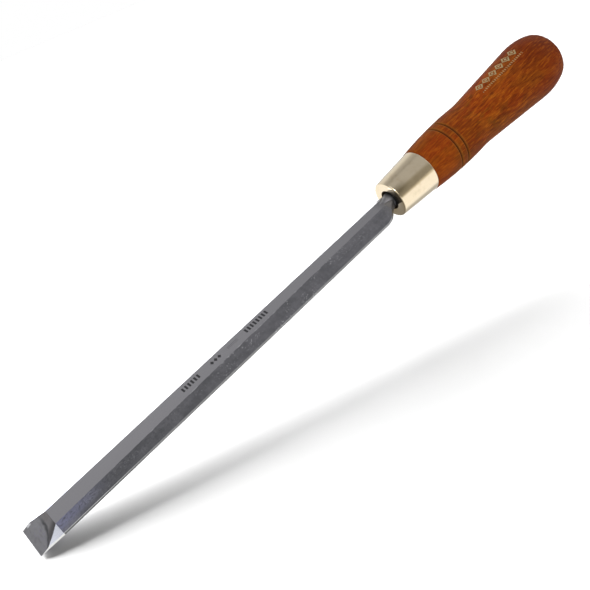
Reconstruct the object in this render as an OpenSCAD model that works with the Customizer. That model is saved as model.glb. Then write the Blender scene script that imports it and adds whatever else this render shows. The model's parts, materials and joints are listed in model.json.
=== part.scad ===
// Paring chisel: tang blade, tapered ferrule and turned handle.
// The handle's axis is the X axis, the cutting edge is at the -X end and the bevelled side is up.

/* [Blade] */
// Width of the blade
blade_w = 19; // [16:0.5:24]
// Cutting edge to the front of the ferrule
blade_len = 210; // [180:1:240]
// Thickness at the heel of the cutting bevel
tip_t = 3.3; // [3:0.1:4]
// Thickness at the shoulders
root_t = 4.3; // [4:0.1:4.8]
// Height of the upright sides under the side bevels
side_t = 1.1; // [0.8:0.1:1.4]
// Slope of the side bevels
side_slope = 25; // [24:0.5:32]
// Cutting edge to the heel of the cutting bevel
heel_x = 11.4; // [9:0.2:15]
// Radius of the wheel that hollows the cutting bevel
hollow_r = 90; // [70:1:150]
// Angle of the small relief facets beside the cutting bevel
relief = 2.5; // [1.5:0.5:4]

/* [Shoulders and tang] */
// Where the full width ends, before the ferrule
shoulder_back = 12.6; // [11:0.2:15]
// Radius of the shoulders' sweep, outwards and then inwards
shoulder_curve = 10; // [8:0.5:12]
// Width between the shoulders' ends
neck_w = 6; // [5.5:0.1:6.6]
// Radius of the round neck in the ferrule's hole
neck_r = 3.75; // [3.5:0.05:4.1]
// Radius of the flare from the blade out to the round neck
neck_flare = 20; // [14:1:28]
// Rise of the flat back towards the neck
neck_rise = 0.3; // [0.2:0.1:0.6]
// Height of the handle's axis above the flat back
axis_h = 2.4; // [2.1:0.1:2.6]
// Length of the tang inside the handle
tang_len = 62; // [45:1:75]
// Width of the tang where it enters the handle
tang_w = 4.2; // [3.8:0.1:4.6]
// Height of the tang where it enters the handle
tang_t = 3.2; // [2.8:0.1:3.4]
// Size of the tang's square end
tang_end = 2.2; // [1.8:0.1:2.6]

/* [Ferrule] */
// Length
ferrule_len = 22; // [18:0.5:26]
// Radius of the front face with its rounded edge
ferrule_front_r = 9.35; // [9:0.05:9.8]
// Radius of the rear rim
ferrule_rear_r = 10.9; // [10.4:0.05:11.2]
// Round of the front edge
ferrule_edge_r = 0.8; // [0.5:0.1:1.2]
// Chamfer of the rear rim
ferrule_lip = 0.3; // [0.1:0.05:0.5]
// Thickness of the front wall
ferrule_front_t = 1.6; // [1.2:0.1:2]
// Thickness of the tapered wall
ferrule_wall = 1.2; // [0.9:0.1:1.5]
// Radius of the hole for the neck
ferrule_hole_r = 5.05; // [4.6:0.05:5.6]

/* [Handle] */
// Length of the wood behind the ferrule
handle_len = 98.8; // [95:0.2:112]
// Step from the ferrule's rim out to the wood
handle_step = 0.15; // [0.1:0.05:0.5]
// Radius at the swell
swell_r = 12.5; // [12.3:0.05:13.2]
// Ferrule's rim to the middle of the swell
swell_x = 23.7; // [21:0.1:27]
// Radius at the waist
waist_r = 12.15; // [11.6:0.05:12.35]
// Radius of the hollow at the waist
waist_curve = 40; // [25:1:60]
// Radius at the bulb
bulb_r = 15.5; // [14.5:0.1:16.5]
// Middle of the bulb to the domed end
bulb_end = 16.8; // [15.6:0.2:19]
// Radius of the bulb's curve along the handle
bulb_curve = 34; // [28:1:40]
// Radius of the domed end
dome_r = 24; // [21:0.5:30]
// Round between the bulb and the dome
dome_edge_r = 7; // [5:0.25:9]
// Ferrule's rim to the first groove
groove_x = 15.8; // [13:0.2:17]
// Distance between the grooves
groove_gap = 4.4; // [3:0.1:6]
// Half width of the grooves
groove_r = 0.6; // [0.4:0.05:0.8]
// Length of the tenon's bore at the mouth
bore_mouth_len = 26; // [20:1:30]

/* [Fits] */
// Gap between the ferrule and the tenon
ferrule_gap = 0.04; // [0.02:0.01:0.1]
// Gap between the tang's corners and the bore
tang_gap = 0.1; // [0.05:0.05:0.3]
// Depth left free past the end of the tang
bore_end_gap = 2; // [1:0.5:4]

/* [Hidden] */
$fn = 96;
// Size of the blocks that shape the blade, and how far a cut runs past a face
block = 60;
past = 1;
// Depth at which the neck's flare starts, under the blade's top
sunk = 0.1;
// Longest straight step in the curves of the handle and of the shoulders
arc_step = 1.2;
sweep_step = 0.5;
total_len = blade_len + ferrule_len + handle_len;

// Places along the tool, counted from the cutting edge
shoulder_x = blade_len - shoulder_back;
tenon_x = blade_len + ferrule_front_t;
rim_x = blade_len + ferrule_len;
tang_tip_x = tenon_x + tang_len;

// Blade
top_rise = (root_t - tip_t) / (shoulder_x - heel_x);
shoulder_drop = (blade_w - neck_w) / 2;
shoulder_turn = acos(1 - shoulder_drop / (2 * shoulder_curve));
neck_x = shoulder_x + 2 * shoulder_curve * sin(shoulder_turn);
flare_r = root_t - axis_h - sunk;
flare_up = neck_r - flare_r;
flare_x = blade_len - sqrt(2 * neck_flare * flare_up - flare_up * flare_up);
bevel_chord = sqrt(heel_x * heel_x + tip_t * tip_t);
bevel_tilt = atan2(tip_t, heel_x);
hollow_out = sqrt(hollow_r * hollow_r - bevel_chord * bevel_chord / 4);
hollow_cx = heel_x / 2 - hollow_out * sin(bevel_tilt);
hollow_cz = tip_t / 2 + hollow_out * cos(bevel_tilt);

// Bore
mouth_r = sqrt(tang_w * tang_w + tang_t * tang_t) / 2 + tang_gap;
mouth_share = bore_mouth_len / tang_len;
bore_w = tang_w + (tang_end - tang_w) * mouth_share;
bore_t = tang_t + (tang_end - tang_t) * mouth_share;
bore_r = sqrt(bore_w * bore_w + bore_t * bore_t) / 2 + tang_gap;

// Handle outline: swell, waist, straight rise, bulb, rounded edge and dome
wood_front_r = ferrule_rear_r + handle_step;
swell_up = swell_r - wood_front_r;
swell_curve = (swell_x * swell_x + swell_up * swell_up) / (2 * swell_up);
curve_sum = swell_curve + waist_curve;
waist_drop = swell_r - waist_r;
waist_x = swell_x + sqrt(curve_sum * curve_sum - (curve_sum - waist_drop) * (curve_sum - waist_drop));
swell_end_x = swell_x + (waist_x - swell_x) * swell_curve / curve_sum;
waist_cy = waist_r + waist_curve;
bulb_x = handle_len - bulb_end;
bulb_cy = bulb_r - bulb_curve;
rise_dx = bulb_x - waist_x;
rise_dy = waist_cy - bulb_cy;
rise_a = atan2(rise_dx, rise_dy)
    - acos((waist_curve + bulb_curve) / sqrt(rise_dx * rise_dx + rise_dy * rise_dy));
dome_cx = handle_len - dome_r;
edge_from_bulb = bulb_curve - dome_edge_r;
edge_from_dome = dome_r - dome_edge_r;
centre_dx = dome_cx - bulb_x;
centre_dy = 0 - bulb_cy;
centre_d = sqrt(centre_dx * centre_dx + centre_dy * centre_dy);
edge_along = (edge_from_bulb * edge_from_bulb - edge_from_dome * edge_from_dome + centre_d * centre_d)
    / (2 * centre_d);
edge_off = sqrt(edge_from_bulb * edge_from_bulb - edge_along * edge_along);
edge_cx = bulb_x + (edge_along * centre_dx + edge_off * centre_dy) / centre_d;
edge_cy = bulb_cy + (edge_along * centre_dy - edge_off * centre_dx) / centre_d;
edge_x0 = bulb_x + (edge_cx - bulb_x) * bulb_curve / edge_from_bulb;
edge_x1 = dome_cx + (edge_cx - dome_cx) * dome_r / edge_from_dome;

// Height of the blade's top at a place along it
function top_at(x) = tip_t + (x - heel_x) * top_rise;

// Radius of the ferrule's tapered outside at a distance behind its front face
function taper_at(x) = ferrule_front_r
    + (ferrule_rear_r - ferrule_front_r) * (x - ferrule_edge_r) / (ferrule_len - ferrule_edge_r);

// Points on an arc, as radius and place; the angle is counted from straight out
function steps(r, turn, step) = ceil(abs(r * turn) * PI / 180 / step);
function arc(x, y, r, a0, a1, step = arc_step) = let (count = steps(r, a1 - a0, step))
    [for (i = [0:count]) let (a = a0 + (a1 - a0) * i / count) [y + r * cos(a), x + r * sin(a)]];
function tail(list) = [for (i = [1:len(list) - 1]) list[i]];

// Turned shapes are drawn as radius against place and spun about the X axis.
module turned() {
    rotate([0, 90, 0]) rotate_extrude() children();
}

// A flat outline of place and height, given a width across the tool.
module side_prism(w) {
    translate([0, w / 2, 0]) rotate([90, 0, 0]) linear_extrude(height = w) children();
}

// The two sides of the blade are alike.
module both_sides() {
    children();
    mirror([0, 1, 0]) children();
}

// One half of the blade from above, as width and place: side, swept shoulder and neck
module blade_half() {
    polygon(concat([[-past, -past], [blade_w / 2, -past]],
        arc(shoulder_x, blade_w / 2 - shoulder_curve, shoulder_curve, 0, shoulder_turn, sweep_step),
        tail(arc(neck_x, neck_w / 2 + shoulder_curve, -shoulder_curve, shoulder_turn, 0, sweep_step)),
        [[neck_w / 2, neck_x + block], [-past, neck_x + block]]));
}

module blade_outline() {
    mirror([1, -1]) {
        blade_half();
        mirror([1, 0]) blade_half();
    }
}

module blade_side() {
    difference() {
        polygon([[-past, 0], [shoulder_x, 0], [blade_len, neck_rise], [tenon_x, neck_rise],
            [tenon_x, top_at(tenon_x)], [-past, top_at(-past)]]);
        translate([hollow_cx, hollow_cz]) circle(r = hollow_r, $fn = 720);
    }
}

module side_bevel() {
    translate([-past, blade_w / 2, side_t]) rotate([-side_slope, 0, 0])
        translate([0, -block / 2, 0]) cube([tenon_x + past, block, block / 2]);
}

module tip_side() {
    translate([heel_x, blade_w / 2, -past]) rotate([0, 0, relief])
        translate([-block / 2, 0, 0]) cube([block / 2 + past, block / 2, block / 2]);
}

module tip_facet() {
    translate([heel_x, blade_w / 2, side_t]) rotate([-side_slope, 0, 0]) rotate([0, -relief, 0])
        translate([-block / 2, -block / 2, 0]) cube([block, block, block / 2]);
}

// The tang from above or from the side, with a short root inside the neck
module tang_outline(root) {
    polygon([[tenon_x - past, -root / 2], [tenon_x, -root / 2], [tang_tip_x, -tang_end / 2],
        [tang_tip_x, tang_end / 2], [tenon_x, root / 2], [tenon_x - past, root / 2]]);
}

module tang() {
    intersection() {
        linear_extrude(height = block, center = true) tang_outline(tang_w);
        translate([0, 0, axis_h]) side_prism(block) tang_outline(tang_t);
    }
}

// The round neck grows out of the blade in a flare and bears on the end of the tenon.
module neck() {
    translate([0, 0, axis_h]) turned() difference() {
        translate([0, flare_x]) square([neck_r, tenon_x - flare_x]);
        translate([flare_r + neck_flare, flare_x]) circle(r = neck_flare, $fn = 360);
    }
}

module blade() {
    color([0.62, 0.62, 0.65]) translate([-total_len / 2, 0, -axis_h]) union() {
        difference() {
            intersection() {
                linear_extrude(height = block, center = true) blade_outline();
                side_prism(block) blade_side();
            }
            both_sides() side_bevel();
            both_sides() tip_side();
            both_sides() tip_facet();
        }
        neck();
        tang();
    }
}

module ferrule() {
    color([0.86, 0.74, 0.5]) translate([blade_len - total_len / 2, 0, 0]) turned() difference() {
        union() {
            square([ferrule_front_r - ferrule_edge_r, ferrule_edge_r]);
            translate([ferrule_front_r - ferrule_edge_r, ferrule_edge_r]) circle(r = ferrule_edge_r);
            polygon([[0, ferrule_edge_r], [ferrule_front_r, ferrule_edge_r],
                [taper_at(ferrule_len - ferrule_lip), ferrule_len - ferrule_lip],
                [ferrule_rear_r - ferrule_lip, ferrule_len], [0, ferrule_len]]);
        }
        translate([0, -past]) square([ferrule_hole_r, ferrule_len]);
        polygon([[0, ferrule_front_t], [taper_at(ferrule_front_t) - ferrule_wall, ferrule_front_t],
            [ferrule_rear_r - ferrule_wall, ferrule_len],
            [ferrule_rear_r - ferrule_wall, ferrule_len + past], [0, ferrule_len + past]]);
    }
}

module handle_outline() {
    swell_out = asin(swell_x / swell_curve);
    swell_in = asin((swell_end_x - swell_x) / swell_curve);
    bulb_out = asin((edge_x0 - bulb_x) / bulb_curve);
    dome_out = asin((edge_x1 - dome_cx) / dome_r);
    polygon(concat([[0, 0]],
        arc(swell_x, swell_r - swell_curve, swell_curve, -swell_out, swell_in),
        tail(arc(waist_x, waist_cy, -waist_curve, swell_in, -rise_a)),
        arc(bulb_x, bulb_cy, bulb_curve, -rise_a, bulb_out),
        tail(arc(edge_cx, edge_cy, dome_edge_r, bulb_out, dome_out)),
        tail(arc(dome_cx, 0, dome_r, dome_out, 90))));
}

module groove(x) {
    drop = swell_x - x;
    surface_r = swell_r - swell_curve + sqrt(swell_curve * swell_curve - drop * drop);
    translate([surface_r, x]) circle(r = groove_r);
}

module handle() {
    color([0.42, 0.19, 0.1]) translate([rim_x - total_len / 2, 0, 0]) turned() difference() {
        union() {
            handle_outline();
            polygon([[0, tenon_x - rim_x],
                [taper_at(ferrule_front_t) - ferrule_wall - ferrule_gap, tenon_x - rim_x],
                [ferrule_rear_r - ferrule_wall - ferrule_gap, 0], [0, 0]]);
        }
        groove(groove_x);
        groove(groove_x + groove_gap);
        translate([0, tenon_x - rim_x - past]) square([mouth_r, bore_mouth_len + past]);
        translate([0, tenon_x - rim_x]) square([bore_r, tang_len + bore_end_gap]);
    }
}

blade();
ferrule();
handle();
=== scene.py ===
# Paring chisel: ground steel blade, brass ferrule and turned wooden handle over a pale floor
import json
import math

import bpy
from mathutils import Matrix, Vector


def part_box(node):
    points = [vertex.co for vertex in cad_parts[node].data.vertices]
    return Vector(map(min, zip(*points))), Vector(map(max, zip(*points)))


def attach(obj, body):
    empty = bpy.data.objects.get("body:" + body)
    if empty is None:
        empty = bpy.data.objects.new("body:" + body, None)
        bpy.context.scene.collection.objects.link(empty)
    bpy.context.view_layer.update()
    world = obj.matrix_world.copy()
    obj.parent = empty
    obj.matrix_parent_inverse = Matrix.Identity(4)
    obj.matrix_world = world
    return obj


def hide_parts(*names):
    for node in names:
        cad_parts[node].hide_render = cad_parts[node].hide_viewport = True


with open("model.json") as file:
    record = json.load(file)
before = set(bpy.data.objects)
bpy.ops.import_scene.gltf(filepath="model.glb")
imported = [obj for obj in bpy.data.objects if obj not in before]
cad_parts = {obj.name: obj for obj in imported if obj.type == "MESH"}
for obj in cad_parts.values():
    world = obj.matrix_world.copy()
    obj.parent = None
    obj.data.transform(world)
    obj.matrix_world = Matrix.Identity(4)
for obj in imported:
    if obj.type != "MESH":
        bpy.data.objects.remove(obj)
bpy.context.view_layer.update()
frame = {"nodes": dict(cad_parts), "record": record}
nodes = frame["nodes"]
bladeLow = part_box("blade")[0]
ferruleLow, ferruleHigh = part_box("ferrule")
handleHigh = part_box("handle")[1]
mounts = {mount["name"]: mount for mount in frame["record"]["mounts"]}
flatBack = mounts["blade_back"]["pos_m"][2]
mm = 0.001
perMetre = 1000             # millimetres in a metre
mergeWithin = 0.002 * mm    # points nearer than this are one
print("frame loaded:", ", ".join(sorted(nodes)))


# Sets the sockets of a shader or any other node: a Value is linked, a number or a colour is set
def feed(target, sockets):
    for name, value in sockets.items():
        if isinstance(value, Value):
            value.tree.links.new(value.socket, target.inputs[name])
        else:
            target.inputs[name].default_value = value


# A shader socket that takes Python's signs: an expression on values adds its Math nodes
class Value:
    def __init__(self, tree, socket):
        self.tree = tree
        self.socket = socket

    # any node: its settings are set first, then the values or links of its sockets
    def node(self, kind, settings, inputs, output=0):
        made = self.tree.nodes.new(kind)
        for name, value in settings.items():
            setattr(made, name, value)
        feed(made, inputs)
        return Value(self.tree, made.outputs[output])

    def maths(self, operation, first, second=0.0):
        return self.node("ShaderNodeMath", {"operation": operation}, {0: first, 1: second})

    def __add__(self, other):
        return self.maths("ADD", self, other)

    def __radd__(self, other):
        return self.maths("ADD", other, self)

    def __sub__(self, other):
        return self.maths("SUBTRACT", self, other)

    def __rsub__(self, other):
        return self.maths("SUBTRACT", other, self)

    def __mul__(self, other):
        return self.maths("MULTIPLY", self, other)

    def __rmul__(self, other):
        return self.maths("MULTIPLY", other, self)

    def __truediv__(self, other):
        return self.maths("DIVIDE", self, other)

    def __mod__(self, other):
        return self.maths("FLOORED_MODULO", self, other)

    def __neg__(self):
        return self.maths("MULTIPLY", self, -1.0)

    def __abs__(self):
        return self.maths("ABSOLUTE", self)

    def root(self):
        return self.maths("SQRT", self)

    def larger(self, other):
        return self.maths("MAXIMUM", self, other)

    def smaller(self, other):
        return self.maths("MINIMUM", self, other)

    # angle in radians whose tangent is this value over the other
    def angleOver(self, other):
        return self.maths("ARCTAN2", self, other)

    # 0 up to low, 1 from high on, smooth between
    def rise(self, low, high):
        settings = {"interpolation_type": "SMOOTHSTEP"}
        return self.node("ShaderNodeMapRange", settings, {"Value": self, "From Min": low, "From Max": high})

    # 1 inside the two limits, with soft edges
    def within(self, low, high, soft):
        return self.rise(low - soft, low + soft) * (1 - self.rise(high - soft, high + soft))

    # a colour mix has its factor, its two colours and its result at sockets 0, 6, 7 and 2
    def mix(self, first, second):
        return self.node("ShaderNodeMix", {"data_type": "RGBA"}, {0: self, 6: first, 7: second}, 2)

    def axes(self):
        return [self.node("ShaderNodeSeparateXYZ", {}, {0: self}, place) for place in range(3)]

    # noise whose spots have the given lengths along X, Y and Z; limits stretch its contrast
    def noise(self, spot, detail, roughness=0.55, distortion=0.0, turn=(0, 0, 0), limits=None):
        scale = [1 / length for length in spot]
        spread = self.node("ShaderNodeMapping", {}, {"Vector": self, "Rotation": turn, "Scale": scale})
        inputs = {"Vector": spread, "Scale": 1.0, "Detail": detail, "Roughness": roughness,
                  "Distortion": distortion}
        spots = self.node("ShaderNodeTexNoise", {}, inputs)
        return spots.rise(*limits) if limits else spots

    def noises(self, settings):
        return {name: self.noise(**values) for name, values in settings.items()}


def startMaterial(name):
    material = bpy.data.materials.new(name)
    material.use_nodes = True
    tree = material.node_tree
    shader = tree.nodes["Principled BSDF"]
    place = Value(tree, tree.nodes.new("ShaderNodeTexCoord").outputs["Object"])
    return material, shader, place


def bump(height, distance, strength):
    inputs = {"Height": height, "Distance": distance, "Strength": strength}
    return height.node("ShaderNodeBump", {}, inputs)


def clearSelection():
    if bpy.context.object and bpy.context.object.mode != "OBJECT":
        bpy.ops.object.mode_set(mode="OBJECT")
    bpy.ops.object.select_all(action="DESELECT")


# Points that easing left on one another become one
def mergeClose(distance):
    bpy.ops.object.mode_set(mode="EDIT")
    bpy.ops.mesh.select_all(action="SELECT")
    bpy.ops.mesh.remove_doubles(threshold=distance)
    bpy.ops.object.mode_set(mode="OBJECT")


# Turned pieces: an outline of place and radius is extruded point by point and spun about the X axis
def turnPiece(name, outline, steps, easing):
    clearSelection()
    bpy.ops.mesh.primitive_plane_add(size=1)
    piece = bpy.context.object
    piece.name = name
    piece.data.name = name
    bpy.ops.object.mode_set(mode="EDIT")
    bpy.ops.mesh.select_mode(type="VERT")
    bpy.ops.mesh.merge(type="CENTER")
    bpy.ops.transform.translate(value=(outline[0][0], 0, outline[0][1]))
    for start, end in zip(outline, outline[1:]):
        move = {"value": (end[0] - start[0], 0, end[1] - start[1])}
        bpy.ops.mesh.extrude_vertices_move(TRANSFORM_OT_translate=move)
    bpy.ops.mesh.select_all(action="SELECT")
    bpy.ops.mesh.spin(steps=steps, angle=2 * math.pi, center=(0, 0, 0), axis=(1, 0, 0))
    bpy.ops.mesh.select_all(action="SELECT")
    bpy.ops.mesh.remove_doubles(threshold=mergeWithin)
    bpy.ops.mesh.normals_make_consistent(inside=False)
    bpy.ops.object.mode_set(mode="OBJECT")
    rounding = piece.modifiers.new("easedEdges", "BEVEL")
    rounding.limit_method = "ANGLE"
    rounding.angle_limit = math.radians(easing["angle"])
    rounding.width = easing["width"]
    rounding.segments = easing["segments"]
    bpy.ops.object.modifier_apply(modifier=rounding.name)
    mergeClose(mergeWithin)
    bpy.ops.object.shade_smooth_by_angle(angle=math.radians(easing["smooth"]))
    return piece


def arcPoints(centre, radius, first, last, count):
    points = []
    for step in range(count + 1):
        angle = math.radians(first + (last - first) * step / count)
        points.append((centre[0] + radius * math.cos(angle), centre[1] + radius * math.sin(angle)))
    return points


# Blade: the solid's own form with its edges eased, all but the cutting edge
blade = {
    "flatWithin": 0.1,          # degrees: triangles that lie this level become one face
    "sharpFrom": 12,            # degrees between faces that make an edge
    "ease": 0.09 * mm,          # flat left on each edge by the last stoning
    "easeSegments": 2,
    "easeMerge": 0.006 * mm,    # slivers this short are closed after easing
    "edgeKeep": 0.3 * mm,       # nothing is eased this near the cutting edge
    "smooth": 8,                # degrees: the hollow and the shoulders' sweep are smooth
    "flatFrom": 5e-6,           # square metres: ground faces of this size and more stay flat
    "hollowLean": -0.15,        # all but the hollow, whose faces lean this far to the front
    "hollowSide": 0.02,         # and no further than this to a side
}


def makeBlade():
    clearSelection()
    piece = bpy.data.objects.new("ground_blade", nodes["blade"].data.copy())
    bpy.context.scene.collection.objects.link(piece)
    piece.select_set(True)
    bpy.context.view_layer.objects.active = piece
    bpy.ops.object.mode_set(mode="EDIT")
    bpy.ops.mesh.select_all(action="SELECT")
    bpy.ops.mesh.remove_doubles(threshold=mergeWithin)
    bpy.ops.mesh.customdata_custom_splitnormals_clear()
    bpy.ops.mesh.dissolve_limited(angle_limit=math.radians(blade["flatWithin"]))
    bpy.ops.mesh.select_all(action="DESELECT")
    bpy.ops.mesh.select_mode(type="EDGE")
    bpy.ops.mesh.edges_select_sharp(sharpness=math.radians(blade["sharpFrom"]))
    bpy.ops.object.mode_set(mode="OBJECT")
    keepSharp = bladeLow.x + blade["edgeKeep"]
    for edge in piece.data.edges:
        ends = [piece.data.vertices[index].co for index in edge.vertices]
        if min(end.x for end in ends) < keepSharp:
            edge.select = False
    bpy.ops.object.mode_set(mode="EDIT")
    bpy.ops.mesh.bevel(offset=blade["ease"], segments=blade["easeSegments"], affect="EDGES",
                       clamp_overlap=True)
    mergeClose(blade["easeMerge"])
    bpy.ops.object.shade_smooth_by_angle(angle=math.radians(blade["smooth"]))
    for face in piece.data.polygons:
        inHollow = face.normal.x < blade["hollowLean"] and abs(face.normal.y) < blade["hollowSide"]
        if face.area > blade["flatFrom"] and not inHollow:
            face.use_smooth = False
    return piece


# Ferrule: tapered cap with a rounded front edge and a hole for the neck
ferrule = {
    "frontRadius": 9.35 * mm,
    "edgeRound": 0.8 * mm,
    "edgePoints": 8,
    "rimRound": 0.45 * mm,
    "rimPoints": 6,
    "taperTurn": 94,        # degrees at which both rounds meet the tapered side
    "frontWall": 1.6 * mm,
    "wall": 1.2 * mm,
    "holeRadius": 5.05 * mm,
    "steps": 160,
    "easing": {"angle": 30, "width": 0.12 * mm, "segments": 2, "smooth": 40},
}


def makeFerrule():
    front = ferruleLow.x
    rear = ferruleHigh.x
    edge = ferrule["edgeRound"]
    rim = ferrule["rimRound"]
    wall = ferrule["wall"]
    taper = ferrule["taperTurn"]
    frontRadius = ferrule["frontRadius"]
    rimRadius = ferruleHigh.z
    inside = front + ferrule["frontWall"]
    outline = [(inside, ferrule["holeRadius"]), (front, ferrule["holeRadius"])]
    outline += arcPoints((front + edge, frontRadius - edge), edge, 180, taper, ferrule["edgePoints"])
    outline += arcPoints((rear - rim, rimRadius - rim), rim, taper, 0, ferrule["rimPoints"])
    insideRadius = frontRadius + (rimRadius - frontRadius) * (inside - front) / (rear - front)
    outline += [(rear, rimRadius - wall), (inside, insideRadius - wall)]
    outline += outline[:1]
    return turnPiece("turned_ferrule", outline, ferrule["steps"], ferrule["easing"])


# Handle: the rings of the solid are spun again as one smooth turning, with its bore
handle = {
    "boreLimit": 4 * mm,    # rings under this radius are the bore, away from the dome
    "domeLength": 10 * mm,
    "ringStep": 0.02 * mm,  # rings nearer than this along the axis are one
    "shoulder": 1 * mm,     # radii at one place that differ by more are the step out from the tenon
    "poleLimit": 0.2 * mm,  # rings under this radius on the dome give way to one pole point
    "steps": 160,
    "easing": {"angle": 28, "width": 0.12 * mm, "segments": 2, "smooth": 32},
}


def handleRings():
    outer = {}
    bore = set()
    for vertex in nodes["handle"].data.vertices:
        place = round(vertex.co.x / handle["ringStep"]) * handle["ringStep"]
        radius = math.hypot(vertex.co.y, vertex.co.z)
        inBore = radius < handle["boreLimit"] and place < handleHigh.x - handle["domeLength"]
        if inBore:
            bore.add((-place, round(radius, 5)))
        else:
            outer.setdefault(place, []).append(radius)
    rings = []
    for place in sorted(outer):
        narrow = min(outer[place])
        wide = max(outer[place])
        if wide - narrow > handle["shoulder"]:
            rings.append((place, narrow))
        if wide > handle["poleLimit"]:
            rings.append((place, wide))
    rings.append((handleHigh.x, 0.0))
    back = [(-place, radius) for place, radius in sorted(bore)]
    return rings, back


def makeHandle():
    rings, back = handleRings()
    boreEnd = [(back[0][0], 0.0)]
    outline = boreEnd + back + rings
    return turnPiece("turned_handle", outline, handle["steps"], handle["easing"])


# Steel: each ground face has its own tone, with painted reflections on the hollow, the narrow side and the
# small facets and a painted highlight on the arris; specks, worn ridges and plain dark marks on the land
steel = {
    "land": (0.372, 0.366, 0.390, 1),
    "bevel": (0.305, 0.300, 0.327, 1),
    "bevelPatch": (0.182, 0.184, 0.198, 1),
    "bevelTip": (0.312, 0.320, 0.455, 1),
    "scuff": (0.130, 0.132, 0.152, 1),      # fine dark scuffing on the side bevels near the tip
    "honed": (0.55, 0.565, 0.63, 1),        # small facets beside the cutting bevel, lightened as a painted reflection
    # painted reflection on the lower strip of those facets
    "facetSideReflection": (0.72, 0.72, 0.71, 1),
    "hollow": (0.330, 0.328, 0.348, 1),
    "hollowTint": (0.318, 0.308, 0.385, 1),
    # painted reflections in the hollow: brown behind the band, dark in it
    "heelReflectionBrown": (0.255, 0.238, 0.240, 1),
    "reflectionBandDark": (0.085, 0.085, 0.090, 1),
    "neck": (0.290, 0.284, 0.296, 1),
    "paintedHoleShade": (0.040, 0.040, 0.042, 1),     # the neck's end in the ferrule's shade
    # narrow side: painted reflection, darker near the tip and lighter further on
    "side": (0.150, 0.153, 0.150, 1),
    "sideBright": (0.28, 0.28, 0.28, 1),
    "arrisHighlight": (0.62, 0.62, 0.61, 1),         # painted highlight on the line between the narrow side and the bevel
    "speck": (0.86, 0.87, 0.90, 1),
    "mark": (0.03, 0.03, 0.035, 1),
    # form, in millimetres from the cutting edge, the middle line and the flat back
    "halfWidth": 9.5,
    "sideHeight": 1.1,
    "sideSlope": 25,                        # degrees
    "heel": 11.4,
    "landAtHeel": 4.78,                     # half width of the land at the heel
    "landTaper": 0.01143,                   # and what it loses per millimetre of length
    "landUp": (1.8, 2.0),                   # nothing of the land is lower
    "wheelRadius": 90,
    "wheelCentre": (-19.27, 87.91),
    "hollowSpread": 0.42,                   # how the hollow widens towards the cutting edge
    # where one face's tone turns into the next, in millimetres off the face
    "backSeam": (0.005, 0.03),
    "faceSeam": (0.03, 0.08),
    "landSeam": (-0.06, 0.06),
    "heelSeam": 0.02,
    "ridge": (-0.14, 0.14, 0.08),           # the worn ridge's two sides and their softness
    # stretches along the blade, in millimetres; a third number is the softness of both ends
    "lighter": (60.0, 170.0),               # the bevel lightens
    "blueTip": (12.0, 40.0),                # its blue near the tip fades
    "lowDark": (18.0, 62.0, 10.0),          # its lower half is darker
    "scuffs": (40.0, 100.0),                # its scuffing fades
    "sideLight": (35.0, 65.0),              # the narrow side's painted reflection lightens and the painted highlight on its arris fades
    "sideLighter": (165.0, 195.0),
    "speckled": (105.0, 175.0, 20.0),
    "ridgeWorn": (60.0, 150.0, 25.0),
    "neckFrom": (200.0, 205.0),
    "neckDull": (204.0, 207.5),
    "holeFrom": (207.6, 210.2),
    # heights over the flat back, in millimetres
    "blueUp": (1.2, 2.4),
    "darkUp": (1.2, 2.6),
    "scuffUp": (1.6, 2.8),
    "honedUp": (0.85, 1.1),
    "arrisUp": (0.80, 0.98),
    "speckLimits": (0.67, 0.74),            # pits over this are bright
    "bump": (0.004 * mm, 0.35),             # height and strength
    "noises": {
        "mottle": {"spot": (10 * mm, 4 * mm, 4 * mm), "detail": 4, "roughness": 0.6,
                   "limits": (0.35, 0.65)},
        "brushing": {"spot": (30 * mm, 0.22 * mm, 0.22 * mm), "detail": 2},
        "pits": {"spot": (0.6 * mm, 0.5 * mm, 0.5 * mm), "detail": 0},
        "grinding": {"spot": (1.6 * mm, 2.4 * mm, 2.4 * mm), "detail": 3, "roughness": 0.65,
                     "limits": (0.3, 0.7)},
        "clusters": {"spot": (14 * mm, 5 * mm, 5 * mm), "detail": 2, "limits": (0.44, 0.62)},
        "chips": {"spot": (2.2 * mm, 0.9 * mm, 0.9 * mm), "detail": 2, "limits": (0.54, 0.64)},
        "scuffing": {"spot": (1.0 * mm, 0.8 * mm, 0.8 * mm), "detail": 3, "roughness": 0.65,
                     "limits": (0.48, 0.66)},
        "smears": {"spot": (1.2 * mm, 4 * mm, 4 * mm), "detail": 3, "roughness": 0.6,
                   "limits": (0.46, 0.66)},
    },
}
# Painted reflections in the hollow (a bent dark band, a dark strip, a thin line and a brown zone), a glint
# and a tint, in millimetres
hollowReflectionsAndTint = {
    "bandAt": 8.15,             # middle of the dark band, from the cutting edge
    "bandFrom": 2.0,            # on the near side of this line it bends towards the edge
    "bandBend": 0.034,
    "bandWave": 0.5,
    "bandSpan": (-0.55, 0.6, 0.6),
    "bandFade": (1.0, 6.0),     # it is fainter on the far side
    "brownReflectionLength": 1.2,          # painted brown reflection behind the band
    "darkSide": (-4.5, -0.3),   # dark strip inside the near edge of the hollow
    "darkFrom": (4.0, 7.0),
    "heelLine": (0.5, 0.05),    # thin line just before the heel
    "tint": (2.5, 7.0, 1.5),
    "tintFade": (2.0, 6.0),
    "glintAcross": (7.4, 7.9),   # painted glint at the far corner
    "glintAlong": (2.2, 4.0, 0.4),
}
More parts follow.
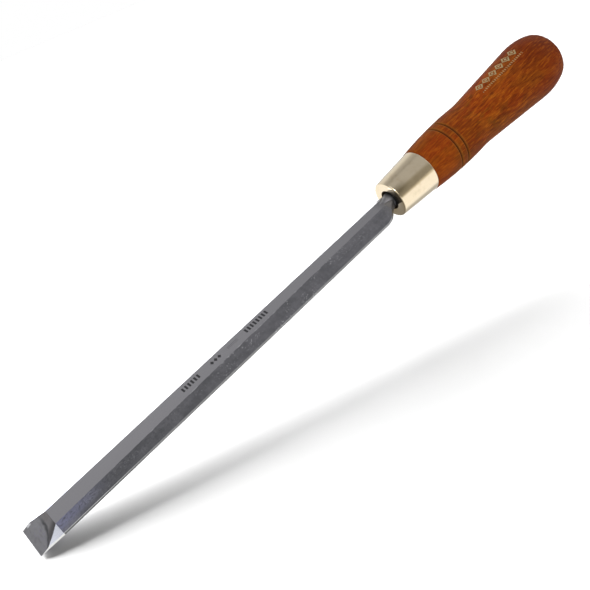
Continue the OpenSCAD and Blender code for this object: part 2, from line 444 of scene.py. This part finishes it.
# Plain dark marks on the land, in millimetres
landMarks = {
    "bars": [(81.0, 91.0, 1.7, 1.05), (117.5, 131.0, 1.7, 1.05)],   # start, end, pitch, width
    "barStart": 0.1,
    "barSoft": 0.1,
    "lozenges": (97.0, 103.2, 2.1),         # start, end, pitch
    "lozengeHalf": (0.95, 1.4),             # half length and half height
    "lozengeRim": (0.85, 1.0),
    "lines": (107.0, 113.0, (0.0, 1.0)),    # start, end and the places of two fine lines
    "lineHalf": 0.12,
    "lineSoft": 0.1,
    "lineShade": 0.8,
    "span": (-0.9, 1.9),                    # across the land
    "spanSoft": 0.08,
    "endSoft": 0.05,
}


def landMarking(along, across):
    low, high = landMarks["span"]
    middle = (low + high) / 2
    soft = landMarks["spanSoft"]
    endSoft = landMarks["endSoft"]
    rows = across.within(low, high, soft)
    marks = None
    for start, end, pitch, width in landMarks["bars"]:
        stripes = ((along - start) % pitch).within(landMarks["barStart"], width, landMarks["barSoft"])
        bar = along.within(start, end, endSoft) * stripes * rows
        marks = bar if marks is None else marks + bar
    start, end, pitch = landMarks["lozenges"]
    halfLength, halfHeight = landMarks["lozengeHalf"]
    reach = abs((along - start) % pitch - pitch / 2) / halfLength + abs(across - middle) / halfHeight
    marks = marks + (1 - reach.rise(*landMarks["lozengeRim"])) * along.within(start, end, endSoft)
    start, end, places = landMarks["lines"]
    half = landMarks["lineHalf"]
    for line in places:
        stroke = landMarks["lineShade"] * across.within(line - half, line + half, soft)
        marks = marks + stroke * along.within(start, end, landMarks["lineSoft"])
    return marks


def bevelTone(along, up, grain):
    share = 0.4 * grain["mottle"] + 0.3 * grain["grinding"] + 0.3 * along.rise(*steel["lighter"])
    tone = share.mix(steel["bevelPatch"], steel["bevel"])
    nearTip = (1 - along.rise(*steel["blueTip"])) * (0.3 + 0.7 * up.rise(*steel["blueUp"]))
    tone = nearTip.mix(tone, steel["bevelTip"])
    lowDark = (1 - up.rise(*steel["darkUp"])) * along.within(*steel["lowDark"]) * 0.5
    tone = lowDark.mix(tone, steel["bevelPatch"])
    scuffed = (1 - along.rise(*steel["scuffs"])) * grain["scuffing"]
    scuffed = scuffed * (0.4 + 0.4 * up.rise(*steel["scuffUp"]))
    return scuffed.mix(tone, steel["scuff"])


# The narrow side: a painted reflection that lightens away from the tip, and a painted highlight on its
# arris
def sideTone(along, up):
    light = along.rise(*steel["sideLight"])
    share = light * 0.55 + along.rise(*steel["sideLighter"]) * 0.45
    tone = share.mix(steel["side"], steel["sideBright"])
    arrisHighlight = up.rise(*steel["arrisUp"]) * (1 - 0.7 * light)
    return arrisHighlight.mix(tone, steel["arrisHighlight"])


# The cutting bevel: painted reflections, a bent dark band with a brown zone behind it, smears all over and
# a tint before it
def hollowTone(along, across, half, grain):
    heel = steel["heel"]
    nearSide = (across - hollowReflectionsAndTint["bandFrom"]).smaller(0.0)
    bend = hollowReflectionsAndTint["bandBend"] * nearSide * nearSide
    middle = hollowReflectionsAndTint["bandAt"] - bend + hollowReflectionsAndTint["bandWave"] * (grain["grinding"] - 0.5)
    band = (along - middle).within(*hollowReflectionsAndTint["bandSpan"])
    band = band * (0.92 - 0.55 * across.rise(*hollowReflectionsAndTint["bandFade"]))
    offEdge = -across - (half + (heel - along) * steel["hollowSpread"])
    darkSide = offEdge.rise(*hollowReflectionsAndTint["darkSide"]) * along.rise(*hollowReflectionsAndTint["darkFrom"]) * 0.8
    lineStart, lineEnd = hollowReflectionsAndTint["heelLine"]
    heelLine = along.rise(heel - lineStart, heel - lineEnd) * 0.4
    # painted reflections: the dark band, the dark strip and the heel line, with the smears
    paintedReflectionBands = band.larger(darkSide.larger(heelLine)).larger(0.2 * grain["smears"])
    paintedBrown = along.rise(middle, middle + hollowReflectionsAndTint["brownReflectionLength"]) * (0.5 + 0.5 * grain["mottle"])
    tone = paintedBrown.mix(steel["hollow"], steel["heelReflectionBrown"])
    tinted = grain["scuffing"] * along.within(*hollowReflectionsAndTint["tint"])
    tinted = tinted * (1 - across.rise(*hollowReflectionsAndTint["tintFade"])) * 0.8
    tone = paintedReflectionBands.mix(tinted.mix(tone, steel["hollowTint"]), steel["reflectionBandDark"])
    # painted glint at the far corner of the hollow
    paintedGlint = across.rise(*hollowReflectionsAndTint["glintAcross"]) * along.within(*hollowReflectionsAndTint["glintAlong"])
    return paintedGlint.mix(tone, steel["speck"])


def steelMaterial():
    material, shader, place = startMaterial("ground_steel")
    grain = place.noises(steel["noises"])
    x, y, z = place.axes()
    along = (x - bladeLow.x) * perMetre
    across = y * perMetre
    out = abs(across)
    up = (z - flatBack) * perMetre

    # where each ground face is
    heel = steel["heel"]
    slope = math.tan(math.radians(steel["sideSlope"]))
    half = steel["landAtHeel"] - (along - heel) * steel["landTaper"]
    centreAlong, centreUp = steel["wheelCentre"]
    reach = along - centreAlong
    hollowUp = centreUp - (steel["wheelRadius"] ** 2 - reach * reach).root()
    bevelUp = steel["sideHeight"] + (steel["halfWidth"] - out) * slope
    offBack = up.rise(*steel["backSeam"])
    onTop = up.rise(*steel["landUp"])
    behindHeel = along.rise(heel - steel["heelSeam"], heel + steel["heelSeam"])
    land = onTop * (1 - (out - half).rise(*steel["landSeam"])) * behindHeel
    side = (bevelUp - up).rise(*steel["faceSeam"]) * (1 - land) * offBack * behindHeel
    honed = (hollowUp - up).rise(*steel["faceSeam"]) * offBack * (1 - behindHeel)
    hollow = (1 - behindHeel) * (1 - honed) * offBack

    tone = hollow.mix(bevelTone(along, up, grain), hollowTone(along, across, half, grain))
    tone = land.mix(tone, steel["land"])
    tone = side.mix(tone, sideTone(along, up))
    # the neck a little darker towards the ferrule, and nearly black inside its hole: painted shade
    tone = along.rise(*steel["neckFrom"]).mix(tone, steel["neck"])
    tone = along.rise(*steel["holeFrom"]).mix(tone, steel["paintedHoleShade"])
    # the small facets beside the cutting bevel: painted reflections
    tone = honed.mix(tone, up.rise(*steel["honedUp"]).mix(steel["facetSideReflection"], steel["honed"]))

    # bright wear on the ridges and in specks
    ridge = (out - half).within(*steel["ridge"]) * behindHeel * onTop
    worn = ridge * grain["chips"] * (0.15 + 0.45 * along.within(*steel["ridgeWorn"]))
    clusters = grain["clusters"] * (0.2 + 0.8 * along.within(*steel["speckled"]))
    specks = grain["pits"].rise(*steel["speckLimits"]) * clusters * (1 - land) * behindHeel * 0.75
    tone = worn.larger(specks).mix(tone, steel["speck"])

    marks = landMarking(along, across) * land
    dull = along.rise(*steel["neckDull"])
    feed(shader, {
        "Base Color": marks.mix(tone, steel["mark"]),
        "Metallic": 1.0 - 0.8 * marks,
        "Roughness": 0.15 + 0.06 * grain["brushing"] + 0.05 * grain["mottle"] + 0.3 * marks + 0.38 * dull,
        "Normal": bump(grain["brushing"] * 0.6 + grain["pits"] * 0.4, *steel["bump"]),
    })
    return material


# Brass: polished, with faint turning rings, fine scratches and patches of tarnish; painted dark reflections
# low on the front face and in a streak back from its edge
brass = {
    "colour": (0.90, 0.768, 0.56, 1),
    "tarnish": (0.64, 0.50, 0.31, 1),
    # painted dark reflection low on the front face
    "front": (0.120, 0.088, 0.043, 1),
    "paintedDarkReflection": (0.300, 0.235, 0.140, 1),     # painted dark reflection: a streak that runs back from the front edge
    "streakAt": (34, 56, 9),                # degrees round from the top, and the softness of its sides
    "streakLength": (1.0 * mm, 10.0 * mm),
    "frontDepth": (0.15 * mm, 0.55 * mm),   # the front face ends here
    "lowTowards": (0.8, 0.45),              # what is low on it: shares of the near side and of down
    "lowFrom": (-0.5, 2.5),                 # millimetres
    "lowWave": 3,
    "tarnishLimits": (0.52, 0.8),
    "bump": (0.003 * mm, 0.4),              # height and strength
    "noises": {
        "rings": {"spot": (0.25 * mm, 50 * mm, 50 * mm), "detail": 2},
        "clouds": {"spot": (6 * mm, 6 * mm, 6 * mm), "detail": 4, "roughness": 0.6},
        "scratches": {"spot": (4 * mm, 0.15 * mm, 0.15 * mm), "detail": 1, "turn": (0, 0, 0.4)},
    },
}


def brassMaterial():
    material, shader, place = startMaterial("polished_brass")
    grain = place.noises(brass["noises"])
    clouds = grain["clouds"]
    x, y, z = place.axes()
    behind = x - ferruleLow.x
    onFront = 1 - behind.rise(*brass["frontDepth"])
    nearShare, downShare = brass["lowTowards"]
    low = (nearShare * y + downShare * z) * -perMetre
    # painted dark reflection low on the front face
    dull = onFront * (low + brass["lowWave"] * (clouds - 0.5)).rise(*brass["lowFrom"]) * 0.93
    base = (clouds.rise(*brass["tarnishLimits"]) * 0.4).mix(brass["colour"], brass["tarnish"])
    around = (-y).angleOver(z) * (180 / math.pi)
    paintedDarkReflection = around.within(*brass["streakAt"]) * (1 - behind.rise(*brass["streakLength"]))
    base = (paintedDarkReflection * (1 - onFront) * (0.5 + 0.5 * clouds)).mix(base, brass["paintedDarkReflection"])
    feed(shader, {
        "Base Color": dull.mix(base, brass["front"]),
        "Metallic": 1.0,
        "Roughness": 0.10 + 0.06 * grain["rings"] + 0.08 * clouds - 0.04 * dull,
        "Normal": bump(grain["rings"] * 0.7 + grain["scratches"] * 0.3, *brass["bump"]),
    })
    return material


# Wood: stained and varnished, short flecks along the grain, painted shade in the grooves and on the tenon's
# end, painted bounce light low on the dome, plain gilt lozenges
grainTurn = (0, math.radians(3), math.radians(4))
wood = {
    "dark": (0.140, 0.022, 0.003, 1),
    "red": (0.335, 0.054, 0.005, 1),
    "brown": (0.300, 0.070, 0.006, 1),
    "olive": (0.215, 0.072, 0.007, 1),      # dull patches at the waist
    "deep": (0.225, 0.036, 0.004, 1),       # darker ring just behind the grooves
    "orange": (0.590, 0.152, 0.011, 1),
    "pore": (0.110, 0.018, 0.003, 1),
    "end": (0.180, 0.026, 0.003, 1),        # darker towards the domed end
    # painted shade in the grooves
    "groove": (0.060, 0.014, 0.004, 1),
    "lip": (0.430, 0.165, 0.028, 1),        # bare edges of the grooves
    "tenonShade": (0.012, 0.006, 0.004, 1),   # painted shade on the tenon's end behind the ferrule's hole
    "gilt": (0.66, 0.54, 0.28, 1),
    # stretches in millimetres behind the ferrule; a third number is the softness of both ends
    "grooves": (15.8, 20.2),
    "grooveHalf": 0.40,
    "grooveSoft": 0.25,
    "lipHalf": 0.95,
    "lipSoft": 0.2,
    "oliveFrom": (12.0, 50.0, 9.0),
    "deepFrom": (20.0, 30.0, 4.0),
    "endFrom": (56.0, 88.0),
    "fleckedFrom": (14.0, 50.0),            # the flecks are fainter nearer to the ferrule
    "paintedBounceSide": (9.0, 15.0),                 # near side of the dome, from the axis, left less dark as painted bounce light
    "tenonEnd": (2.2 * mm, 3.0 * mm),       # behind the ferrule's front
    # parts of a noise that show
    "brownLimits": (0.38, 0.62),
    "lipLimits": (0.30, 0.55),
    "lightFlecks": (0.50, 0.66),
    "darkFlecks": (0.34, 0.48),
    "poreLimits": (0.56, 0.70),
    "bump": (0.02 * mm, 0.25),              # height and strength
    "noises": {
        "flecks": {"spot": (6 * mm, 0.8 * mm, 0.8 * mm), "detail": 3, "roughness": 0.6,
                   "distortion": 0.3, "turn": grainTurn},
        "bands": {"spot": (30 * mm, 5 * mm, 5 * mm), "detail": 3, "roughness": 0.5,
                  "distortion": 0.8, "turn": grainTurn, "limits": (0.45, 0.7)},
        "pores": {"spot": (3.5 * mm, 0.28 * mm, 0.28 * mm), "detail": 2, "roughness": 0.5,
                  "turn": grainTurn},
        "cloud": {"spot": (20 * mm, 12 * mm, 12 * mm), "detail": 2},
        "blotch": {"spot": (5.5 * mm, 2.8 * mm, 2.8 * mm), "detail": 3, "roughness": 0.6,
                   "limits": (0.47, 0.64)},
    },
}
gilding = {
    "start": 46.6,              # millimetres behind the ferrule
    "pitch": 5.2,
    "count": 6,
    "middle": 88.5,             # degrees round from the far side
    "radius": 14.0,
    "lozenge": (2.45, 2.6),     # half length and half height
    "rim": (0.62, 1.0, 0.05),   # shares of the lozenge, and softness
    "core": (0.30, 0.38),
    "ticks": (4.3, 0.55, 1.3),  # place, half height and pitch of the fine ticks beside them
    "tickSpan": (0.2, 0.75),
    "tickSoft": 0.1,
    "rowSoft": 0.05,
    "worn": {"spot": (0.9 * mm, 0.6 * mm, 0.6 * mm), "detail": 3, "limits": (0.34, 0.48)},
}


def giltMask(place):
    x, y, z = place.axes()
    along = (x - ferruleHigh.x) * perMetre - gilding["start"]
    around = (z.angleOver(y) - math.radians(gilding["middle"])) * gilding["radius"]
    inRow = along.within(0.0, gilding["pitch"] * gilding["count"], gilding["rowSoft"])
    centred = abs(along % gilding["pitch"] - gilding["pitch"] / 2)
    halfLength, halfHeight = gilding["lozenge"]
    reach = centred / halfLength + abs(around) / halfHeight
    rims = reach.within(*gilding["rim"])
    cores = 1 - reach.rise(*gilding["core"])
    tickPlace, tickHalf, tickPitch = gilding["ticks"]
    soft = gilding["tickSoft"]
    ticks = (along % tickPitch).within(*gilding["tickSpan"], soft)
    ticks = ticks * around.within(tickPlace - tickHalf, tickPlace + tickHalf, soft)
    return (rims + cores + ticks * 0.7) * inRow * place.noise(**gilding["worn"])


def woodMaterial():
    material, shader, place = startMaterial("stained_wood")
    grain = place.noises(wood["noises"])
    flecks = grain["flecks"]
    pores = grain["pores"]
    cloud = grain["cloud"]
    x, y, z = place.axes()
    behind = (x - ferruleHigh.x) * perMetre

    # broad colours, then flecks and pores
    tone = cloud.rise(*wood["brownLimits"]).mix(wood["red"], wood["brown"])
    tone = (grain["bands"] * 0.34).mix(tone, wood["orange"])
    tone = (grain["blotch"] * behind.within(*wood["oliveFrom"]) * 0.6).mix(tone, wood["olive"])
    tone = (behind.within(*wood["deepFrom"]) * 0.5).mix(tone, wood["deep"])
    # darker towards the domed end, less so low on its near side: painted bounce light from the floor
    nearEnd = behind.rise(*wood["endFrom"])
    paintedBounceSide = (y * -perMetre).rise(*wood["paintedBounceSide"])
    tone = (nearEnd * (0.8 - 0.45 * paintedBounceSide)).mix(tone, wood["end"])
    marked = 0.55 + 0.45 * behind.rise(*wood["fleckedFrom"])
    lightFlecks = flecks.rise(*wood["lightFlecks"]) * marked * (0.76 - 0.42 * nearEnd)
    tone = lightFlecks.mix(tone, wood["orange"])
    darkFlecks = (1 - flecks.rise(*wood["darkFlecks"])) * marked * 0.74
    tone = darkFlecks.mix(tone, wood["dark"])
    tone = (pores.rise(*wood["poreLimits"]) * 0.6).mix(tone, wood["pore"])

    cut = None
    lips = None
    for groove in wood["grooves"]:
        line = behind.within(groove - wood["grooveHalf"], groove + wood["grooveHalf"], wood["grooveSoft"])
        lip = behind.within(groove - wood["lipHalf"], groove + wood["lipHalf"], wood["lipSoft"])
        cut = line if cut is None else cut + line
        lips = lip if lips is None else lips + lip
    tone = (lips * 0.5 * cloud.rise(*wood["lipLimits"])).mix(tone, wood["lip"])
    # painted shade in the grooves
    tone = (cut * 0.85).mix(tone, wood["groove"])
    # painted shade on the tenon's end inside the ferrule
    paintedHoleShade = 1 - (x - ferruleLow.x).rise(*wood["tenonEnd"])
    tone = paintedHoleShade.mix(tone, wood["tenonShade"])

    gilt = giltMask(place)
    feed(shader, {
        "Base Color": gilt.mix(tone, wood["gilt"]),
        "Metallic": gilt * 0.9,
        "Roughness": 0.45 + 0.15 * pores - 0.12 * gilt,
        "Specular IOR Level": 0.045,
        "Coat Weight": 0.035 - 0.025 * cut,
        "Coat Roughness": 0.25,
        "Normal": bump(pores * -0.6 + flecks * 0.4, *wood["bump"]),
    })
    return material


bladePiece = makeBlade()
print("blade:", len(bladePiece.data.polygons), "faces")
ferrulePiece = makeFerrule()
print("ferrule:", len(ferrulePiece.data.polygons), "faces")
handlePiece = makeHandle()
print("handle:", len(handlePiece.data.polygons), "faces")

dressing = [
    (bladePiece, "blade", "blade_steel", steelMaterial()),
    (ferrulePiece, "ferrule", "ferrule_brass", brassMaterial()),
    (handlePiece, "handle", "handle_wood", woodMaterial()),
]
for piece, node, slot, material in dressing:
    piece.data.materials.clear()
    piece.data.materials.append(material)
    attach(piece, "root")
    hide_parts(node)
print("materials set:", ", ".join(material.name for piece, node, slot, material in dressing))

# Floor: it falls away under the tool, which is held just clear of it at the tip
floor = {
    "fall": 11.5,               # degrees that it drops from the cutting edge towards the handle
    "roll": 7.0,                # and from the near corner of that edge towards the back
    "gap": 1.0 * mm,            # how far it is below that corner
    "size": 3.0,
    "behindEdge": 0.6,          # how far it runs past the cutting edge
    "colour": (0.21, 0.21, 0.21, 1),
    "grain": {"spot": (20 * mm, 20 * mm, 20 * mm), "detail": 2},
    "shine": 1.1,               # how white it looks in the metal
    "farLess": 0.65,            # how much less beside the handle, at these places along and back
    "farAlong": (0.06, 0.15),
    "farBack": (0.05, 0.15),
    "paintedUnderShade": 0.6,           # how much less right under the ferrule and the handle: painted shade in the glow the metal sees
    "underAlong": (0.02, 0.05),
    "underHalf": (0.010, 0.035),
    "bounce": 0.45,             # what it throws up on the wood
}


def floorMaterial():
    material, shader, place = startMaterial("pale_floor")
    tree = material.node_tree
    grain = place.noise(**floor["grain"])
    feed(shader, {"Base Color": floor["colour"], "Roughness": 0.85 + 0.1 * grain})
    spot = place.node("ShaderNodeNewGeometry", {}, {}, "Position")
    x, y, z = spot.axes()
    far = x.rise(*floor["farAlong"]) * y.rise(*floor["farBack"])
    under = x.rise(*floor["underAlong"]) * (1 - abs(y).rise(*floor["underHalf"]))
    # the glow the metal sees, with painted shade right under the tool
    shine = floor["shine"] - floor["farLess"] * far - floor["paintedUnderShade"] * under
    seen = place.node("ShaderNodeLightPath", {}, {}, "Is Camera Ray")
    mirrored = place.node("ShaderNodeLightPath", {}, {}, "Is Glossy Ray")
    glow = mirrored * shine + (1 - mirrored) * floor["bounce"]
    card = place.node("ShaderNodeEmission", {}, {"Strength": glow})
    real = Value(tree, shader.outputs[0])
    both = place.node("ShaderNodeMixShader", {}, {0: seen, 1: card, 2: real})
    tree.links.new(both.socket, tree.nodes["Material Output"].inputs["Surface"])
    return material


def makeFloor():
    clearSelection()
    fall = math.radians(floor["fall"])
    roll = math.radians(floor["roll"])
    middle = floor["size"] / 2 - floor["behindEdge"]
    height = flatBack - floor["gap"] - middle * math.sin(fall)
    place = Vector((bladeLow.x + middle * math.cos(fall), bladeLow.y, height))
    bpy.ops.mesh.primitive_plane_add(size=floor["size"], location=place, rotation=(-roll, fall, 0))
    ground = bpy.context.object
    ground.name = "floor"
    ground.data.materials.append(floorMaterial())
    return ground


# Light: two soft low suns for the floor and its shadow, a softbox over the tip, a fill and a small lamp
lights = {
    # in degrees, azimuth from the back towards the handle's end: only the blade shades the first sun
    "bladeSun": {"azimuth": -15, "elevation": 17.8, "angle": 26, "strength": 31.7},
    "wholeSun": {"azimuth": 52, "elevation": 10.5, "angle": 30, "strength": 6.5},
    # in metres and watts, all facing the tool: the last one gives only the ferrule its spark
    "softbox": {"place": (-0.46, -0.12, 0.88), "size": (0.60, 0.40), "power": 0.95},
    "fill": {"place": (-0.35, -0.75, 0.95), "size": (0.7, 0.7), "power": 4.0},
    "rimLamp": {"place": (-0.17, -0.25, 0.51), "size": (0.12, 0.12), "power": 0.9},
}
# White card low behind the blade: it lights only the steel, and whitens the far bevel
backCard = {
    "power": 29.0,
    "place": (0.35, 1.093),
    "size": (2.26, 1.0),
    "turn": 40,                 # degrees: its near edge starts behind the tip and runs off from the blade
    "lift": 2 * mm,
}
# Sky: what the metal and the wood see of the studio; the camera sees plain white
world = {
    "over": 0.43,
    "frontLess": 0.16,          # darker towards the front
    "frontFrom": (-0.72, -0.50),
    "frontTint": (1.0, 0.94, 0.80, 1),      # and warmer
    "backMore": 0.33,           # lighter towards the back
    "backFrom": (0.62, 0.88),
    "dip": 0.08,                # and a little darker before that
    "dipSpan": (0.32, 0.52, 0.12),
    "horizon": 0.5,             # pale line low in the front
    "horizonUp": (0.02, 0.22),
    "endMore": 0.7,             # pale patch beyond the handle's end
    "endFrom": (0.58, 0.80),
    "endUp": (0.15, 0.60, 0.1),
    "seen": 1.0,
}


def onlyFor(name, piece):
    alone = bpy.data.collections.new(name)
    alone.objects.link(piece)
    return alone


def makeAreaLight(name, place, rotation, settings):
    bpy.ops.object.light_add(type="AREA", location=place, rotation=rotation)
    lamp = bpy.context.object
    lamp.name = name
    lamp.data.shape = "RECTANGLE"
    lamp.data.size, lamp.data.size_y = settings["size"]
    lamp.data.energy = settings["power"]
    return lamp


def makeBackCard():
    fall = math.radians(floor["fall"])
    x, y = backCard["place"]
    height = flatBack - (x - bladeLow.x) * math.tan(fall) + backCard["lift"]
    tilt = Matrix.Rotation(fall, 3, "Y") @ Matrix.Rotation(math.radians(backCard["turn"]), 3, "Z")
    tilt = tilt @ Matrix.Rotation(math.pi, 3, "X")      # its lit side faces up
    card = makeAreaLight("back_card", (x, y, height), tilt.to_euler(), backCard)
    card.light_linking.receiver_collection = onlyFor("steel_only", bladePiece)


def makeSuns(ground):
    lit = onlyFor("floor_only", ground)
    shading = onlyFor("blade_only", bladePiece)
    for name in ("bladeSun", "wholeSun"):
        sun = lights[name]
        azimuth = math.radians(sun["azimuth"])
        elevation = math.radians(sun["elevation"])
        level = math.cos(elevation)
        aim = Vector((math.sin(azimuth) * level, math.cos(azimuth) * level, math.sin(elevation)))
        bpy.ops.object.light_add(type="SUN", rotation=aim.to_track_quat("Z", "Y").to_euler())
        lamp = bpy.context.object
        lamp.name = name
        lamp.data.energy = sun["strength"]
        lamp.data.angle = math.radians(sun["angle"])
        lamp.light_linking.receiver_collection = lit
        if name == "bladeSun":
            lamp.light_linking.blocker_collection = shading


def makeLamps():
    for name in ("softbox", "fill", "rimLamp"):
        place = Vector(lights[name]["place"])
        lamp = makeAreaLight(name, place, place.to_track_quat("Z", "Y").to_euler(), lights[name])
        if name == "rimLamp":
            lamp.light_linking.receiver_collection = onlyFor("brass_only", ferrulePiece)


def makeWorld():
    sky = bpy.data.worlds.new("studio")
    sky.use_nodes = True
    bpy.context.scene.world = sky
    tree = sky.node_tree
    facing = Value(tree, tree.nodes.new("ShaderNodeTexCoord").outputs["Generated"])
    x, y, z = facing.axes()
    front = 1 - y.rise(*world["frontFrom"])
    glow = world["over"] - world["frontLess"] * front + world["backMore"] * y.rise(*world["backFrom"])
    glow = glow - world["dip"] * y.within(*world["dipSpan"])
    glow = glow + world["horizon"] * front * (1 - z.rise(*world["horizonUp"]))
    glow = glow + world["endMore"] * x.rise(*world["endFrom"]) * z.within(*world["endUp"])
    seen = facing.node("ShaderNodeLightPath", {}, {}, "Is Camera Ray")
    strength = seen * world["seen"] + (1 - seen) * glow
    tint = (front * (1 - seen)).mix((1, 1, 1, 1), world["frontTint"])
    feed(tree.nodes["Background"], {"Color": tint, "Strength": strength})


camera = {
    "place": (-0.1321, -0.2592, 0.2232),
    "turn": (47.82, 21.69, -41.95),     # degrees
    "lens": 50.47,                      # millimetres, as the sensor's width
    "sensor": 36,
}


def makeCamera():
    turn = [math.radians(angle) for angle in camera["turn"]]
    bpy.ops.object.camera_add(location=camera["place"], rotation=turn)
    eye = bpy.context.object
    eye.data.lens = camera["lens"]
    eye.data.sensor_width = camera["sensor"]
    bpy.context.scene.camera = eye


ground = makeFloor()
makeBackCard()
makeSuns(ground)
makeLamps()
makeWorld()
makeCamera()
bpy.context.scene.view_settings.view_transform = "Standard"
print("floor, lights and camera set")
